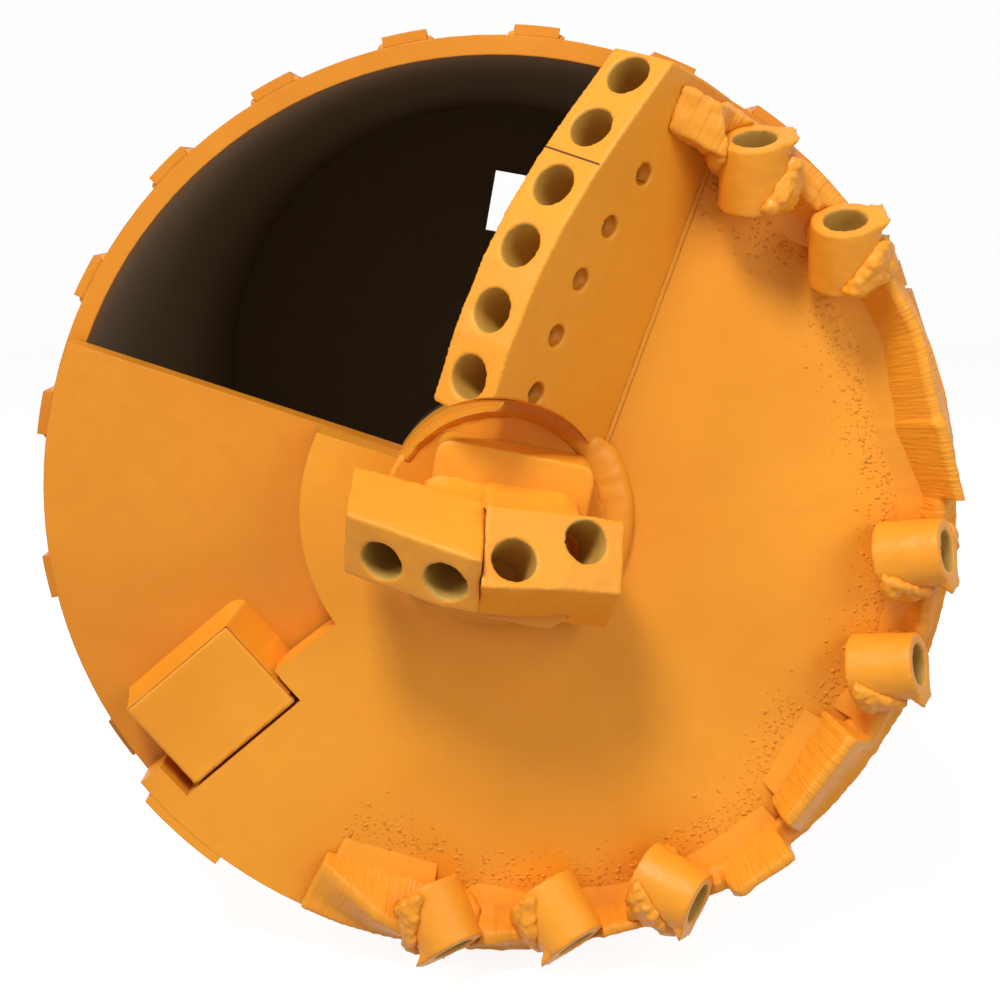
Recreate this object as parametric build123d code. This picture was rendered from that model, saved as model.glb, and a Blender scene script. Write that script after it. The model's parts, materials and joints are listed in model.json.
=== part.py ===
from build123d import *
import math
import os

# Rock drilling bucket, lying on its side, its cutting face towards -Y and its axis along Y.
# Everything is modelled upright first: X right, Y up in the picture, Z out of the cutting face.
# Level 0 is the lower edge of the shell. The last step lays the pieces down and sets the origin.

# Shell and top end
shell_radius = 440.0
shell_wall = 18.0
shell_length = 1175.0
top_plate_thickness = 25.0
window_count = 2
window_first_deg = 80.0
window_radius = 270.0
window_length = 97.0
window_width = 92.0
kelly_square = 204.0
kelly_wall = 43.0
kelly_height = 250.0
kelly_pin_radius = 32.0
kelly_pin_level = 130.0
rib_count = 4
rib_first_deg = 45.0
rib_thickness = 20.0
rib_rim_inset = 25.0
rib_outer_radius = shell_radius - rib_rim_inset
rib_root_height = 200.0
rib_toe_height = 40.0

# Wear strips on the outside of the shell, seen in the picture as bumps on the rim
strip_thickness = 10.0
strip_width_deg = 5.4
lower_strip_low = -190.0
lower_strip_high = -3.0
upper_strip_gap = 10.0
upper_strip_length = 120.0
upper_strip_low = upper_strip_gap - shell_length
upper_strip_high = upper_strip_low + upper_strip_length
strip_angles_deg = (85, 101, 118, 134, 151, 169, 190, 213, 231, 248,
                    262, 278, 298, 320, 336, 352, 4.5, 54, 68)

# Door: the upper of the two bottom plates
door_gap = 6.0
door_rim_inset = 8.0
door_radius = shell_radius - door_rim_inset
door_thickness = 30.0
intake_start_deg = 66.0
intake_edge_deg = 161.6
intake_edge_offset = 23.0
intake_inner_radius = 106.0
plate_gap = 6.0

# Stop block on the door
stop_edge_deg = 220.4
stop_edge_offset = 9.5
stop_gap = 5.5
stop_rim_inset = 178.0
stop_inner_radius = shell_radius - stop_rim_inset
stop_length = 127.0
stop_width = 94.0
stop_height = 50.0
stop_outer_gap = 13.0

# Rotor: the lower bottom plate with all the pockets
rotor_thickness = 45.0
rotor_rim_inset = 13.0
rotor_radius = shell_radius - rotor_rim_inset
rotor_nose_deg = 217.7
rotor_nose_offset = 10.9
rotor_corner_deg = 217.2
rotor_sweep_start_deg = 205.0
rotor_sweep_past_deg = 12.0
hub_disc_radius = 183.0
hub_core_radius = 106.0
hub_near_deg = 21.8
shaft_radius = 75.0
running_clearance = 0.06
nut_radius = 105.0
nut_thickness = 28.0
rotor_strip_start_deg = 219.5
rotor_strip_turn_deg = 12.0
rotor_strip_thickness = 9.0

# Tooth pockets, all empty
pocket_radius = 19.1
pocket_depth = 66.0
pocket_mouth_clearance = 7.5
pocket_mouth_start = 20.0
rim_pocket_depth = 52.0
knock_radius = 10.0
knock_depth = 55.0
cut_reach = 100.0

# Radial row: a thick leaning plate, its top cut as a fan of facets with one pocket in each.
# Share is the pocket's distance along the row as a share of the rotor's radius.
row_line_deg = 70.4
row_foot_offset = 72.0
row_rise_deg = 41.0
row_back_half = 33.0
row_front_half = 31.0
row_lead_offset = 108.0
row_inner_end = 95.0
row_past_rim = 16.0
row_outer_end = rotor_radius + row_past_rim
row_rim_gap = 4.0
row_split_share = 0.7717
row_columns = ("share", "aside", "level", "fan_deg")
row_pockets = (
    (0.9588, 28.1, 151.5, 25.0),
    (0.8374, 43.7, 169.5, 23.0),
    (0.7062, 58.2, 186.0, 18.0),
    (0.5737, 67.8, 197.5, 11.0),
    (0.4364, 72.0, 202.0, 3.5),
    (0.2964, 71.5, 201.5, -4.0),
)

# Pilot: two wings of two pockets on a square shank
flange_radius = 100.0
flange_thickness = 14.0
shank_width = 142.0
shank_depth = 152.0
shank_height = 62.0
shank_corner = 14.0
shank_right = 4.0
shank_up = -3.0
shank_turn_deg = -11.0
pilot_right = -13.5
pilot_up = -12.0
pilot_turn_deg = -5.0
pilot_tilt_deg = 29.0
pilot_half_side = 33.0
pilot_columns = ("side", "along", "across", "level", "tilt_deg", "fan_deg")
pilot_pockets = (
    (1, 27.1, 6.9, 238.0, 31.0, 10.6),
    (1, 88.9, 22.4, 214.0, 26.0, 23.0),
    (-1, 29.9, 19.6, 238.0, 31.0, 10.6),
    (-1, 86.1, 9.7, 214.0, 26.0, 23.0),
)
wing_columns = ("side", "low_inner", "low_outer", "high_inner", "high_outer", "back_inner", "back_outer")
wing_sides = (
    (1, -135.0, -128.0, -62.0, -60.0, 118.0, 84.0),
    (-1, -134.0, -133.0, -70.0, -68.0, 136.5, 118.5),
)

# Castellated ring on the rotor's rim: torch-cut blocks with an inner slope up to a crest.
# Foot and crest are given as their distance in from the ring's outer radius.
ring_rim_inset = 2.0
ring_outer_radius = rotor_radius - ring_rim_inset
ring_edge_height = 8.0
ring_columns = ("start_deg", "end_deg", "foot_in_start", "foot_in_end", "crest_in_start",
                "crest_in_end", "height_start", "height_end", "crest_width")
ring_steps = (
    (57.5, 69.0, 48.0, 48.0, 45.0, 45.0, 62.0, 62.0, 40.0),
    (36.0, 57.5, 37.0, 37.0, 20.0, 20.0, 34.0, 34.0, 9.0),
    (25.0, 36.0, 43.0, 39.0, 17.0, 17.0, 40.0, 40.0, 9.0),
    (13.5, 25.0, 52.0, 43.0, 23.0, 17.0, 44.0, 40.0, 9.0),
    (3.0, 13.5, 34.0, 54.0, 10.0, 23.0, 46.0, 52.0, 9.0),
    (-14.0, 3.0, 33.0, 33.0, 21.0, 21.0, 26.0, 26.0, 9.0),
    (-31.0, -14.0, 39.0, 33.0, 21.0, 21.0, 26.0, 26.0, 9.0),
    (-46.5, -31.0, 43.0, 63.0, 37.0, 44.0, 48.0, 50.0, 9.0),
    (-58.0, -48.5, 27.0, 29.0, 10.0, 14.0, 52.0, 60.0, 9.0),
    (-67.0, -58.0, 23.0, 27.0, 14.0, 14.0, 24.0, 26.0, 9.0),
    (-78.0, -67.0, 31.0, 21.0, 23.0, 14.0, 42.0, 38.0, 9.0),
    (-88.0, -78.0, 41.0, 35.0, 27.0, 23.0, 34.0, 30.0, 9.0),
    (-97.0, -88.0, 53.0, 41.0, 21.0, 27.0, 42.0, 34.0, 9.0),
    (-107.0, -97.0, 67.0, 63.0, 36.0, 14.0, 42.0, 48.0, 9.0),
    (-116.5, -107.0, 60.0, 67.0, 56.0, 36.0, 20.0, 42.0, 9.0),
)
ring_floor_width = 25.0
ring_floor_radius = ring_outer_radius - ring_floor_width
ring_floor_height = 14.0
ring_least_volume = 2000.0

# Rim holders: round bodies with a pointed ear, and the way each one leans outward
holder_mouth_half = 30.0
holder_root_half = 34.0
holder_length = 61.0
holder_ear_reach = 50.0
holder_ear_root = 26.0
holder_ear_tip = 12.0
holder_ear_length = 30.0
holder_ear_slope_deg = 38.0
holder_mouth_inset = 18.0
holder_mouth_radius = rotor_radius - holder_mouth_inset
holder_level = 136.0
holder_columns = ("angle_deg", "lean_out_deg", "tilt_deg")
holder_places = (
    (57.0, 50.0, 67.0),
    (42.0, 33.0, 63.0),
    (-3.2, 72.0, 61.0),
    (-18.5, 57.0, 61.0),
    (-62.4, 47.0, 61.0),
    (-79.5, 64.0, 61.0),
    (-95.7, 55.0, 61.0),
)

# Door hinge and latch, inside the shell's outline on opposite sides
hinge_deg = 20.0
hinge_axis_inset = 14.0
hinge_radius = shell_radius - hinge_axis_inset
hinge_level = -30.0
hinge_pin_radius = 14.0
hinge_recess_half = 90.0
hinge_recess_depth = 78.0
lug_thickness = 24.0
lug_outer = 22.0
lug_inner = 40.0
lug_side_gap = 6.0
knuckle_radius = 25.0
knuckle_half = 52.0
latch_deg = 200.0
latch_pivot_inset = 105.0
latch_pivot_radius = shell_radius - latch_pivot_inset
latch_pivot_level = -150.0
latch_pin_radius = 10.0
latch_half = 13.0
catch_reach = 37.0
catch_radius = latch_pivot_radius + catch_reach
catch_level = -45.0
catch_bar_radius = 12.0
catch_lug_half = 26.0
catch_lug_thickness = 16.0
bracket_gap = 6.0
bracket_thickness = 16.0
claw_low = -27.0
claw_high = -9.0
lever_thickness = 24.0
arm_reach = 62.0
rod_radius = 11.0
rod_inset = 43.0
rod_offset = shell_radius - rod_inset
rod_gap = 3.0
rod_travel = 20.0
latch_swing_deg = 22.0
rod_guide_shares = (0.36, 0.78)
rod_guide_height = 40.0
rod_guide_half = 28.0
rod_play = 1.0
button_radius = 26.0
button_height = 14.0
button_gap = 6.0
cup_radius = 30.0
cup_height = 50.0
pin_end = 4.0
hinge_recess_reach = 100.0
knuckle_inner = 60.0
catch_lug_reach = 22.0
catch_lug_depth = 18.0
hook_half = 14.0
hook_top = 16.0
hook_arm = 8.0
bracket_inner = 24.0
bracket_below = 60.0
bracket_above = 24.0

door_low = door_gap
door_high = door_gap + door_thickness
rotor_low = door_high + plate_gap
rotor_high = rotor_low + rotor_thickness
top_low = -shell_length - top_plate_thickness
kelly_low = top_low - kelly_height
kelly_outer = kelly_square + 2 * kelly_wall
pin_level = top_low - kelly_pin_level
rod_top = top_low - cup_height - button_gap
over = 400.0
far = 2 * over
cut_margin = 1.0
row_lean_deg = row_line_deg + 90

os.makedirs("parts", exist_ok=True)


# Helpers
def disc(radius, low, high):
    return Pos(0, 0, (low + high) / 2) * Cylinder(radius, high - low)


def tube(outer, inner, low, high):
    return disc(outer, low, high) - disc(inner, low - cut_margin, high + cut_margin)


def sector(inner, outer, start_deg, end_deg, low, high):
    profile = Pos((inner + outer) / 2, (low + high) / 2) * Rectangle(outer - inner, high - low)
    turned = revolve(Plane.XZ * profile, Axis.Z, end_deg - start_deg)
    return Rot(0, 0, start_deg) * turned


def bar(x0, x1, y0, y1, z0, z1):
    return Pos((x0 + x1) / 2, (y0 + y1) / 2, (z0 + z1) / 2) * Box(x1 - x0, y1 - y0, z1 - z0)


def half_above(level):
    return bar(-far, far, -far, far, level, level + far)


def aim(place, lean_deg, tilt_deg, fan_deg=0):
    """A location whose Z runs out along the pocket: tilted one way, then fanned to its side."""
    return Pos(*place) * Rot(0, 0, lean_deg) * Rot(0, tilt_deg, 0) * Rot(fan_deg, 0, 0)


def pocket_cut(location, knock=False, depth=pocket_depth):
    cut = location * Pos(0, 0, (cut_reach - depth) / 2) * Cylinder(pocket_radius, cut_reach + depth)
    if knock:
        hole = Pos(-cut_reach / 2, 0, -knock_depth) * Rot(0, 90, 0) * Cylinder(knock_radius, cut_reach)
        cut = cut + location * hole
    return cut


def below_mouth(location):
    return location * bar(-over, over, -over, over, -far, 0)


def polar(radius, angle_deg, level):
    a = math.radians(angle_deg)
    return (radius * math.cos(a), radius * math.sin(a), level)


to_row = Pos(0, pin_level, 0) * Rot(90, 0, 0)


def keep(name, shape):
    shape = to_row * shape
    shape.label = name
    export_step(shape, f"parts/{name}.step")
    box = shape.bounding_box()
    print(f"{name:20s} solids {len(shape.solids()):3d} volume {shape.volume / 1000:9.1f} cm3",
          f"x {box.min.X:7.1f} {box.max.X:7.1f} y {box.min.Y:8.1f} {box.max.Y:8.1f}",
          f"z {box.min.Z:7.1f} {box.max.Z:7.1f}")


# Shell
shell = tube(shell_radius, shell_radius - shell_wall, -shell_length, 0)
recess = bar(hinge_radius - hinge_recess_reach, hinge_radius + hinge_recess_reach, -hinge_recess_half,
             hinge_recess_half, -hinge_recess_depth, over)
shell = shell - Rot(0, 0, hinge_deg) * recess
keep("shell_tube", shell)


def strips(low, high):
    pieces = []
    for angle in strip_angles_deg:
        pieces.append(sector(shell_radius, shell_radius + strip_thickness, angle - strip_width_deg / 2,
                             angle + strip_width_deg / 2, low, high))
    return Compound(children=pieces)


keep("lower_strips", strips(lower_strip_low, lower_strip_high))
keep("upper_strips", strips(upper_strip_low, upper_strip_high))

# Top plate with its windows
top_plate = disc(shell_radius, top_low, -shell_length)
for n in range(window_count):
    window = bar(window_radius - window_length / 2, window_radius + window_length / 2,
                 -window_width / 2, window_width / 2, top_low - cut_margin, over)
    top_plate = top_plate - Rot(0, 0, window_first_deg + n * 360 / window_count) * window
rod_place = polar(rod_offset, latch_deg, 0)
top_plate = top_plate - Pos(rod_place[0], rod_place[1], top_low) * Cylinder(rod_radius + rod_play, over / 2)
keep("top_plate", top_plate)

# Kelly box: the square socket with its cross pin hole
kelly = bar(-kelly_outer / 2, kelly_outer / 2, -kelly_outer / 2, kelly_outer / 2, kelly_low, top_low)
kelly = kelly - bar(-kelly_square / 2, kelly_square / 2, -kelly_square / 2, kelly_square / 2,
                    kelly_low - cut_margin, top_low + cut_margin)
kelly = kelly - Pos(0, 0, pin_level) * Rot(0, 90, 0) * Cylinder(kelly_pin_radius, far)
keep("kelly_box", kelly)

# Ribs from the socket's corners to the plate
rib_start = math.hypot(kelly_outer / 2, kelly_outer / 2) - rib_thickness / 2
rib_pieces = []
for n in range(rib_count):
    outline = Polygon((rib_start, top_low), (rib_outer_radius, top_low),
                      (rib_outer_radius, top_low - rib_toe_height), (rib_start, top_low - rib_root_height),
                      align=None)
    rib = extrude(Plane.XZ * outline, rib_thickness / 2, both=True)
    rib = Rot(0, 0, rib_first_deg + n * 360 / rib_count) * rib
    rib = rib - bar(-kelly_outer / 2, kelly_outer / 2, -kelly_outer / 2, kelly_outer / 2, kelly_low,
                    top_low + cut_margin)
    rib_pieces.append(rib.solids()[0])
keep("top_ribs", Compound(children=rib_pieces))

# Door
door = disc(door_radius, door_low, door_high)
door = door - disc(shaft_radius + running_clearance, door_low - cut_margin, door_high + cut_margin)
edge_side = Rot(0, 0, intake_edge_deg) * bar(-far, far, -far, -intake_edge_offset,
                                             door_low - cut_margin, door_high + cut_margin)
intake = sector(intake_inner_radius, over + shell_radius, intake_start_deg, intake_edge_deg,
                door_low, door_high)
door = door - (intake & edge_side)
keep("door_plate", door)

block = bar(stop_inner_radius, stop_inner_radius + stop_length, stop_edge_offset - stop_width,
            stop_edge_offset, door_high, door_high + stop_height)
keep("stop_block", Rot(0, 0, stop_edge_deg) * block)

# Hinge of the door
hinge_turn = Rot(0, 0, hinge_deg)
knuckle = Pos(hinge_radius, 0, hinge_level) * Rot(90, 0, 0) * Cylinder(knuckle_radius, 2 * knuckle_half)
knuckle = knuckle + bar(hinge_radius - knuckle_inner, hinge_radius, -knuckle_half, knuckle_half,
                        hinge_level, door_low)
knuckle = knuckle & bar(0, far, -over, over, -over, door_low)
knuckle = knuckle - Pos(hinge_radius, 0, hinge_level) * Rot(90, 0, 0) * Cylinder(
    hinge_pin_radius + running_clearance, over)
keep("hinge_knuckle", hinge_turn * knuckle)

lug_near = knuckle_half + lug_side_gap
lugs = []
for side in (-1, 1):
    y0 = side * lug_near
    y1 = side * (lug_near + lug_thickness)
    lug = Pos(hinge_radius, (y0 + y1) / 2, hinge_level) * Rot(90, 0, 0) * Cylinder(lug_outer, lug_thickness)
    lug = lug + bar(hinge_radius - lug_inner, hinge_radius + lug_outer, min(y0, y1), max(y0, y1),
                    -hinge_recess_depth - lug_inner, hinge_level)
    lugs.append(lug)
shell_local = Rot(0, 0, -hinge_deg) * shell
lugs = [(lug - shell_local) for lug in lugs]
pin_hole = Pos(hinge_radius, 0, hinge_level) * Rot(90, 0, 0) * Cylinder(hinge_pin_radius, over)
lugs = [(lug - pin_hole) for lug in lugs]
lugs = [max(lug.solids(), key=lambda s: s.volume) for lug in lugs]
keep("hinge_lugs", hinge_turn * Compound(children=lugs))
pin = Pos(hinge_radius, 0, hinge_level) * Rot(90, 0, 0) * Cylinder(
    hinge_pin_radius, 2 * (lug_near + lug_thickness) + 2 * pin_end)
keep("hinge_pin", hinge_turn * pin)

# Catch on the door, opposite the hinge
latch_turn = Rot(0, 0, latch_deg)
catch = Pos(catch_radius, 0, catch_level) * Rot(90, 0, 0) * Cylinder(
    catch_bar_radius, 2 * (catch_lug_half + catch_lug_thickness))
for side in (-1, 1):
    y0 = side * catch_lug_half
    y1 = side * (catch_lug_half + catch_lug_thickness)
    catch = catch + bar(catch_radius - catch_lug_reach, catch_radius + catch_lug_reach,
                        min(y0, y1), max(y0, y1), catch_level - catch_lug_depth, door_low)
keep("door_catch", latch_turn * catch)

# Latch hook, its pin and its bracket on the shell
hook_outline = Polygon(
    (latch_pivot_radius - hook_half, latch_pivot_level - hook_half),
    (latch_pivot_radius + arm_reach, latch_pivot_level - hook_half),
    (latch_pivot_radius + arm_reach, latch_pivot_level + hook_arm),
    (latch_pivot_radius + hook_half, latch_pivot_level + hook_top),
    (latch_pivot_radius + hook_half, claw_low), (catch_radius + hook_half, claw_low),
    (catch_radius + hook_half, claw_high), (latch_pivot_radius - hook_half, claw_high), align=None)
hook = extrude(Plane.XZ * hook_outline, latch_half, both=True)
hook = hook - Pos(latch_pivot_radius, 0, latch_pivot_level) * Rot(90, 0, 0) * Cylinder(
    latch_pin_radius + running_clearance, over)
latch_pivot = Pos(latch_pivot_radius, 0, latch_pivot_level)
drawn_back = latch_pivot * Rot(0, -latch_swing_deg, 0) * latch_pivot.inverse()
keep("latch_hook", latch_turn * drawn_back * hook)

bracket_near = latch_half + bracket_gap
brackets = []
for side in (-1, 1):
    y0 = side * bracket_near
    y1 = side * (bracket_near + bracket_thickness)
    plate = bar(latch_pivot_radius - bracket_inner, shell_radius, min(y0, y1), max(y0, y1),
                latch_pivot_level - bracket_below, latch_pivot_level + bracket_above)
    plate = plate & disc(shell_radius - shell_wall, -shell_length, 0)
    plate = plate - Pos(latch_pivot_radius, 0, latch_pivot_level) * Rot(90, 0, 0) * Cylinder(
        latch_pin_radius, over)
    brackets.append(plate.solids()[0])
keep("latch_bracket", latch_turn * Compound(children=brackets))
latch_pin = Pos(latch_pivot_radius, 0, latch_pivot_level) * Rot(90, 0, 0) * Cylinder(
    latch_pin_radius, 2 * (bracket_near + bracket_thickness) + 2 * pin_end)
keep("latch_pin", latch_turn * latch_pin)

# Release rod with its guides and button
rod_end = latch_pivot_level - hook_half - rod_gap + rod_travel
rod = Pos(rod_offset, 0, (rod_top + rod_end) / 2) * Cylinder(rod_radius, rod_end - rod_top)
keep("release_rod", latch_turn * rod)
button = Pos(rod_offset, 0, rod_top - button_height / 2) * Cylinder(button_radius, button_height)
keep("rod_button", latch_turn * button)
guides = []
for share in rod_guide_shares:
    level = -share * shell_length
    guide = bar(rod_offset - rod_guide_half, shell_radius, -rod_guide_half, rod_guide_half,
                level - rod_guide_height / 2, level + rod_guide_height / 2)
    guide = guide & disc(shell_radius - shell_wall, -shell_length, 0)
    guide = guide - Pos(rod_offset, 0, level) * Cylinder(rod_radius + running_clearance, over / 2)
    guides.append(guide.solids()[0])
keep("rod_guides", latch_turn * Compound(children=guides))
cup = Pos(rod_offset, 0, top_low - cup_height / 2) * (
    Cylinder(cup_radius, cup_height) - Cylinder(rod_radius + running_clearance, cup_height * 2))
keep("rod_cup", latch_turn * cup)

# Rotor plate: a sweep from the stop block round to the row, with a nose beside the block
rotor_sweep_end_deg = row_line_deg + rotor_sweep_past_deg
rotor_sweep = sector(hub_core_radius / 2, rotor_radius, rotor_sweep_start_deg - 360, rotor_sweep_end_deg,
                     rotor_low, rotor_high)
lead_cut = Rot(0, 0, row_line_deg) * bar(0, far, row_lead_offset - row_foot_offset, far,
                                         rotor_low, rotor_high)
block_inner = stop_inner_radius - stop_gap
block_outer = stop_inner_radius + stop_length + stop_outer_gap
block_side = Rot(0, 0, stop_edge_deg) * bar(block_inner, block_outer, -over, stop_edge_offset + stop_gap,
                                            rotor_low, rotor_high)
nose_side = Rot(0, 0, rotor_nose_deg) * bar(0, block_inner, -over, -rotor_nose_offset,
                                            rotor_low, rotor_high)
corner_side = Rot(0, 0, rotor_corner_deg) * bar(block_inner, far, -over, 0, rotor_low, rotor_high)
hub_disc = sector(hub_core_radius / 2, hub_disc_radius, intake_edge_deg, rotor_nose_deg,
                  rotor_low, rotor_high)
intake_side = Rot(0, 0, intake_edge_deg) * bar(-over, over, -intake_edge_offset, over, rotor_low, rotor_high)
hub_near = sector(hub_core_radius / 2, hub_disc_radius, intake_edge_deg - hub_near_deg,
                  intake_edge_deg, rotor_low, rotor_high)
rotor = rotor_sweep - lead_cut - block_side - nose_side - corner_side
rotor = rotor + hub_disc + (hub_near & intake_side) + disc(hub_core_radius, rotor_low, rotor_high)
keep("rotor_plate", rotor)
keep("rotor_strip", sector(rotor_radius, rotor_radius + rotor_strip_thickness, rotor_strip_start_deg,
                           rotor_strip_start_deg + rotor_strip_turn_deg, rotor_low, rotor_high))

shaft_low = -nut_thickness
keep("rotor_shaft", disc(shaft_radius, shaft_low, rotor_low))
keep("shaft_nut", tube(nut_radius, shaft_radius, shaft_low, 0))
keep("hub_flange", disc(flange_radius, rotor_high, rotor_high + flange_thickness))

# Pilot
flange_top = rotor_high + flange_thickness
pilot_turn = Pos(pilot_right, pilot_up, 0) * Rot(0, 0, pilot_turn_deg)
shank = Pos(shank_right, shank_up, flange_top) * Rot(0, 0, shank_turn_deg) * extrude(
    RectangleRounded(shank_width, shank_depth, shank_corner), shank_height)
shank = shank & disc(flange_radius, flange_top, over)
mounts = []


def straight_side(places, pockets):
    """A side with one given place beside each pocket, as its places at the middle and far out."""
    inner, outer = places
    first, last = (row[1] for row in pockets)
    slope = (outer - inner) / (last - first)
    return inner - slope * first, inner + slope * (over - first)


def beyond_side(places, pockets, beyond):
    base, tip = straight_side(places, pockets)
    outline = Polygon((base, 0), (tip, -over), (tip + beyond, -over), (base + beyond, 0), align=None)
    return extrude(outline, over, both=True)


def wing(side, low_inner, low_outer, high_inner, high_outer, back_inner, back_outer):
    wing_turn = Rot(0, 0, 90.0 * side) * Rot(0, pilot_tilt_deg, 0)
    pockets = [row for row in pilot_pockets if row[0] == side]
    base, tip = straight_side((back_inner, back_outer), pockets)
    outline = Polygon((0, base), (-over, tip), (-over, over), (0, over), align=None)
    body = wing_turn * extrude(Plane.YZ * outline, over, both=True)
    body = body & wing_turn * bar(-over, over, -pockets[-1][1] - pilot_half_side, 0, -over, over)
    cuts = None
    for _, along, across, level, tilt, fan in pockets:
        spot = aim((side * along, side * across, level), 90.0 * side, tilt, fan)
        body = body & below_mouth(spot)
        cuts = pocket_cut(spot) if cuts is None else cuts + pocket_cut(spot)
        mounts.append(("pilot", pilot_turn * spot))
    body = body - wing_turn * beyond_side((high_inner, high_outer), pockets, over)
    body = body - wing_turn * beyond_side((low_inner, low_outer), pockets, -over)
    body = body & half_above(flange_top)
    body = pilot_turn * (body - cuts)
    body = body - shank
    return max(body.solids(), key=lambda s: s.volume), pilot_turn * cuts


wing_right, cuts_right = wing(*wing_sides[0])
wing_left, cuts_left = wing(*wing_sides[1])
keep("pilot_wing_right", max((wing_right - cuts_left).solids(), key=lambda s: s.volume))
keep("pilot_wing_left", max((wing_left - cuts_right).solids(), key=lambda s: s.volume))
keep("pilot_shank", shank - cuts_right - cuts_left)

# Rim holders
holders = []
holder_cores = []
holder_cuts = []
for angle, lean_out, tilt in holder_places:
    spot = aim(polar(holder_mouth_radius, angle, holder_level), angle + 90.0 - lean_out, tilt)
    core = spot * Pos(0, 0, -holder_length / 2) * Cone(holder_root_half, holder_mouth_half, holder_length)
    outline = Polygon((0, -holder_ear_root), (holder_ear_reach, -holder_ear_tip),
                      (holder_ear_reach, holder_ear_tip), (0, holder_ear_root), align=None)
    ear = extrude(outline, -holder_ear_length)
    under = Pos(0, 0, -holder_ear_length) * Rot(0, -holder_ear_slope_deg, 0) * bar(
        0, over, -over, over, -over, 0)
    core = core + spot * Rot(0, 0, -90.0) * (ear - under)
    core = core & half_above(rotor_high)
    bore = pocket_cut(spot, depth=rim_pocket_depth)
    holders.append(max((core - bore).solids(), key=lambda s: s.volume))
    holder_cores.append(core)
    mouth_space = Cylinder(pocket_radius + pocket_mouth_clearance, cut_reach + pocket_mouth_start)
    holder_cuts.append(spot * Pos(0, 0, (cut_reach - pocket_mouth_start) / 2) * mouth_space)
    mounts.append(("rim", spot))

# Radial row: one leaning plate, cut below every mouth plane, then split into two bars
row_turn = Rot(0, 0, row_lean_deg) * Rot(0, row_rise_deg, 0)
rise = math.radians(row_rise_deg)
rear_x = -row_foot_offset * math.cos(rise) - rotor_high * math.sin(rise)
row = row_turn * bar(rear_x, rear_x + row_back_half + row_front_half, -row_outer_end, -row_inner_end,
                     -over, over)
row_cuts = []
row_along = Rot(0, 0, row_line_deg)
for number, (share, aside, level, fan) in enumerate(row_pockets):
    place = (row_along * Pos(share * rotor_radius, aside, level)).position
    spot = aim(tuple(place), row_lean_deg, row_rise_deg, fan)
    row = row & below_mouth(spot)
    row_cuts.append(pocket_cut(spot, knock=number > 0))
    mounts.append(("row", spot))
row = row & half_above(rotor_high)
row = row & disc(rotor_radius + row_rim_gap, rotor_high, over)
row = row - disc(flange_radius, rotor_high, flange_top + shank_height)
row_solid = row
for cut in row_cuts:
    row = row - cut
for core in holder_cores:
    row = row - core
row_split = row_split_share * rotor_radius
inner_side = row_turn * bar(-over, over, -row_split, over, -over, over)
inner_bar = row & inner_side
outer_bar = row - inner_side
keep("row_outer_bar", max(outer_bar.solids(), key=lambda s: s.volume))
keep("row_inner_bar", max(inner_bar.solids(), key=lambda s: s.volume))


# Ring: each block is drawn between two upright sections
def ring_section(angle, foot_in, crest_in, height, width):
    foot = ring_outer_radius - foot_in
    crest = ring_outer_radius - crest_in
    outline = Polygon((foot, rotor_high), (ring_outer_radius, rotor_high),
                      (ring_outer_radius, rotor_high + ring_edge_height),
                      (crest + width, rotor_high + height), (crest, rotor_high + height),
                      align=None)
    return Rot(0, 0, angle) * (Plane.XZ * outline)


ring = sector(ring_floor_radius, ring_outer_radius, ring_steps[-1][0], ring_steps[0][1],
              rotor_high, rotor_high + ring_floor_height)
for start, end, foot_0, foot_1, crest_0, crest_1, height_0, height_1, width in ring_steps:
    block = loft([ring_section(start, foot_0, crest_0, height_0, width).face(),
                  ring_section(end, foot_1, crest_1, height_1, width).face()], ruled=True)
    ring = ring + block
for cut in holder_cores + holder_cuts + [row_solid, row_cuts[0], row_cuts[1]]:
    ring = ring - cut
ring_solids = [piece for piece in ring.solids() if piece.volume > ring_least_volume]
keep("rim_ring", Compound(children=ring_solids))
for number, holder in enumerate(holders, 1):
    keep(f"rim_holder_{number}", holder)

for name, spot in mounts:
    place = to_row * spot
    origin = place.position
    way = Plane(place).z_dir
    print(f"mount {name:6s} {origin.X:9.3f} {origin.Y:9.3f} {origin.Z:9.3f} ",
          f"axis {way.X:8.5f} {way.Y:8.5f} {way.Z:8.5f}")
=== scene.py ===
# %% [markdown]
# This lesson dresses a rock drilling bucket for its picture. The bucket was designed first, as
# separate solids with real joints, and those come in ready packed. Blender adds what a drawing
# leaves out: soft edges, the marks of the torch, welds, spatter, paint and light.

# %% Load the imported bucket
import json
import math
import random

import bmesh
import bpy
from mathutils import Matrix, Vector, noise
from mathutils.bvhtree import BVHTree


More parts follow.
